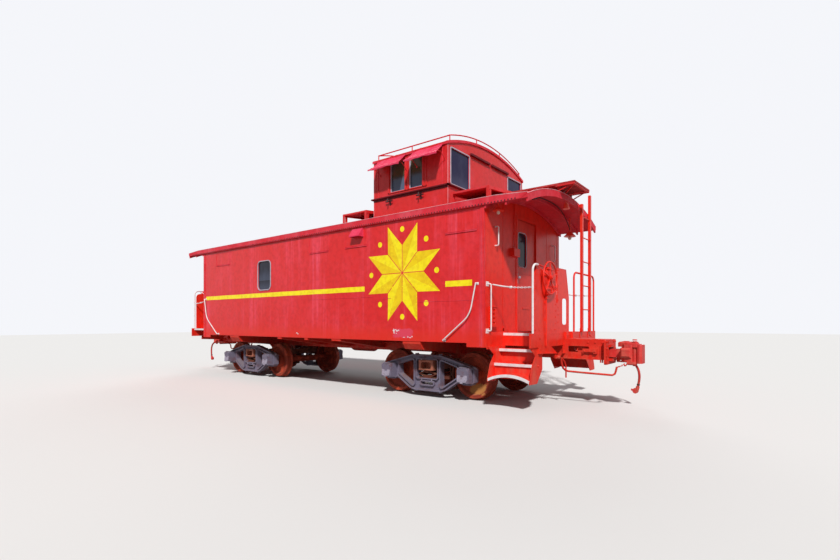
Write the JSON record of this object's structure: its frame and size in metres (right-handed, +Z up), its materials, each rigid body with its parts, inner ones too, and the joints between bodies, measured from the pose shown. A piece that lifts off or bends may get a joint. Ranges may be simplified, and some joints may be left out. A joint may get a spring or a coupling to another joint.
{
  "type": "railway caboose with cupola",
  "caption": "Steel railway caboose with a cupola, open end platforms, roof walks, swivelling trucks with rolling wheelsets, hinged end doors and end couplers",
  "frame": {"origin": "centre of the footprint, on the plane under the wheel flanges", "axes": "X runs along the car with the cupola towards +X, Y across it, Z up"},
  "size_m": [13.336, 3.3006, 4.9008],
  "materials": {
    "body_paint": "weathered gloss red paint",
    "roof_paint": "sun-faded red paint",
    "walk_paint": "worn red-brown paint",
    "floor_steel": "dull floor paint",
    "frame_paint": "red paint over rust",
    "platform_paint": "scuffed red paint",
    "rail_paint": "white paint",
    "window_metal": "dull grey metal",
    "window_glass": "dark dusty glass",
    "coupler_casting": "red paint over a rough casting",
    "truck_casting": "weathered grey casting",
    "brake_steel": "rusted brake gear",
    "spring_steel": "rusty spring steel",
    "wheel_steel": "rusted red-brown steel",
    "hose_rubber": "rubber hose with red overspray",
    "hose_fitting": "cast fitting with red overspray"
  },
  "bodies": {
    "carbody": {"air_hose_front": "hose_rubber", "air_hose_rear": "hose_rubber", "brake_gear": "frame_paint", "canopy_lamps": "roof_paint", "coupler_front": "coupler_casting", "coupler_rear": "coupler_casting", "cupola_front_wall": "body_paint", "cupola_rails": "roof_paint", "cupola_rear_wall": "body_paint", "cupola_roof": "roof_paint", "cupola_shades": "roof_paint", "cupola_side_far": "body_paint", "cupola_side_near": "body_paint", "end_grabs": "rail_paint", "end_railing_front": "platform_paint", "end_railing_rear": "platform_paint", "end_wall_front": "body_paint", "end_wall_rear": "body_paint", "floor": "floor_steel", "gate_chains": "rail_paint", "glad_hand_front": "hose_fitting", "glad_hand_rear": "hose_fitting", "hand_brake_front": "platform_paint", "hand_brake_rear": "platform_paint", "handrails": "rail_paint", "ladders": "platform_paint", "lateral_decks": "walk_paint", "platform_front": "platform_paint", "platform_rear": "platform_paint", "roof": "roof_paint", "roof_walks": "walk_paint", "side_grabs": "rail_paint", "side_wall_far": "body_paint", "side_wall_near": "body_paint", "steps_front": "platform_paint", "steps_rear": "platform_paint", "strikers": "frame_paint", "train_lines": "frame_paint", "uncoupling_levers": "frame_paint", "underframe": "frame_paint", "vent_hoods": "roof_paint", "window_frames": "window_metal", "window_glass": "window_glass"},
    "door_leaf_front": {"door_front": "body_paint", "door_glass_front": "window_glass"},
    "door_leaf_rear": {"door_rear": "body_paint", "door_glass_rear": "window_glass"},
    "truck_front": {"truck_bolster_front": "frame_paint", "truck_side_frames_front": "truck_casting", "truck_springs_front": "spring_steel", "brake_beams_front": "brake_steel"},
    "truck_rear": {"truck_bolster_rear": "frame_paint", "truck_side_frames_rear": "truck_casting", "truck_springs_rear": "spring_steel", "brake_beams_rear": "brake_steel"},
    "axle_1": {"wheelset_1": "wheel_steel"},
    "axle_2": {"wheelset_2": "wheel_steel"},
    "axle_3": {"wheelset_3": "wheel_steel"},
    "axle_4": {"wheelset_4": "wheel_steel"}
  },
  "joints": [
    {"name": "truck_front_swivel", "type": "hinge", "parent": "carbody", "child": "truck_front", "pos_m": [3.01, 0, 0.68], "axis": [0, 0, 1], "range_deg": [-6, 6]},
    {"name": "truck_rear_swivel", "type": "hinge", "parent": "carbody", "child": "truck_rear", "pos_m": [-3.01, 0, 0.68], "axis": [0, 0, 1], "range_deg": [-6, 6]},
    {"name": "axle_1_spin", "type": "hinge", "parent": "truck_front", "child": "axle_1", "pos_m": [3.9245, 0, 0.444], "axis": [0, 1, 0], "continuous": true},
    {"name": "axle_2_spin", "type": "hinge", "parent": "truck_front", "child": "axle_2", "pos_m": [2.0955, 0, 0.444], "axis": [0, 1, 0], "continuous": true},
    {"name": "axle_3_spin", "type": "hinge", "parent": "truck_rear", "child": "axle_3", "pos_m": [-2.0955, 0, 0.444], "axis": [0, 1, 0], "continuous": true},
    {"name": "axle_4_spin", "type": "hinge", "parent": "truck_rear", "child": "axle_4", "pos_m": [-3.9245, 0, 0.444], "axis": [0, 1, 0], "continuous": true},
    {"name": "door_front_hinge", "type": "hinge", "parent": "carbody", "child": "door_leaf_front", "pos_m": [4.485, 0.37, 2.2], "axis": [0, 0, 1], "range_deg": [-100, 0]},
    {"name": "door_rear_hinge", "type": "hinge", "parent": "carbody", "child": "door_leaf_rear", "pos_m": [-4.485, 0.37, 2.2], "axis": [0, 0, 1], "range_deg": [0, 100]}
  ]
}
